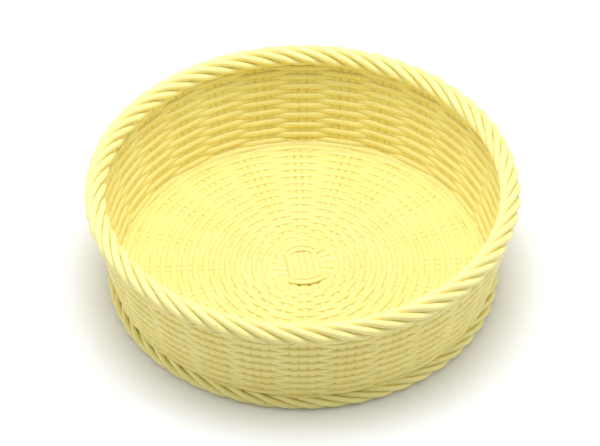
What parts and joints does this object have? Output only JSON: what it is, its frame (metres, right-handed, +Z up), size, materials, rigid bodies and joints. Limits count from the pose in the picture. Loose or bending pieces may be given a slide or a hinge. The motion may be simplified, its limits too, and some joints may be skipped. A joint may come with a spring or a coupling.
{
  "type": "woven basket",
  "caption": "Round, low woven basket with a slightly flared wall, a flat woven floor, and a twisted rope rim and foot.",
  "frame": {"origin": "middle of the basket's underside, on the surface that it stands on", "axes": "+Z up along the basket's axis; -Y towards the front; the basket is the same all round but for the weave"},
  "size_m": [0.2596, 0.26, 0.074],
  "materials": {
    "base_sticks": "satin pale yellow, moulded as smooth cane",
    "side_stakes": "satin pale yellow, moulded as smooth cane",
    "weavers": "satin pale yellow, moulded as smooth cane",
    "ropes": "satin pale yellow, moulded as smooth twisted cane"
  },
  "bodies": {
    "root": {"base_stick_01": "base_sticks", "base_stick_02": "base_sticks", "base_stick_03": "base_sticks", "base_stick_04": "base_sticks", "base_stick_05": "base_sticks", "base_stick_06": "base_sticks", "base_stick_07": "base_sticks", "base_stick_08": "base_sticks", "base_stick_09": "base_sticks", "base_stick_10": "base_sticks", "slath_binding": "weavers", "floor_weaver_1": "weavers", "floor_weaver_2": "weavers", "floor_weaver_3": "weavers", "floor_weaver_4": "weavers", "floor_weaver_5": "weavers", "floor_weaver_6": "weavers", "side_stake_01": "side_stakes", "side_stake_02": "side_stakes", "side_stake_03": "side_stakes", "side_stake_04": "side_stakes", "side_stake_05": "side_stakes", "side_stake_06": "side_stakes", "side_stake_07": "side_stakes", "side_stake_08": "side_stakes", "side_stake_09": "side_stakes", "side_stake_10": "side_stakes", "side_stake_11": "side_stakes", "side_stake_12": "side_stakes", "side_stake_13": "side_stakes", "side_stake_14": "side_stakes", "side_stake_15": "side_stakes", "side_stake_16": "side_stakes", "side_stake_17": "side_stakes", "side_stake_18": "side_stakes", "side_stake_19": "side_stakes", "side_stake_20": "side_stakes", "side_stake_21": "side_stakes", "side_stake_22": "side_stakes", "side_stake_23": "side_stakes", "side_stake_24": "side_stakes", "side_stake_25": "side_stakes", "side_stake_26": "side_stakes", "side_stake_27": "side_stakes", "side_stake_28": "side_stakes", "wall_weaver_1": "weavers", "wall_weaver_2": "weavers", "wall_weaver_3": "weavers", "wall_weaver_4": "weavers", "wall_weaver_5": "weavers", "wall_weaver_6": "weavers", "rim_strand_1": "ropes", "rim_strand_2": "ropes", "rim_strand_3": "ropes", "rim_strand_4": "ropes", "rim_strand_5": "ropes", "foot_strand_1": "ropes", "foot_strand_2": "ropes", "foot_strand_3": "ropes", "foot_strand_4": "ropes"}
  },
  "joints": []
}
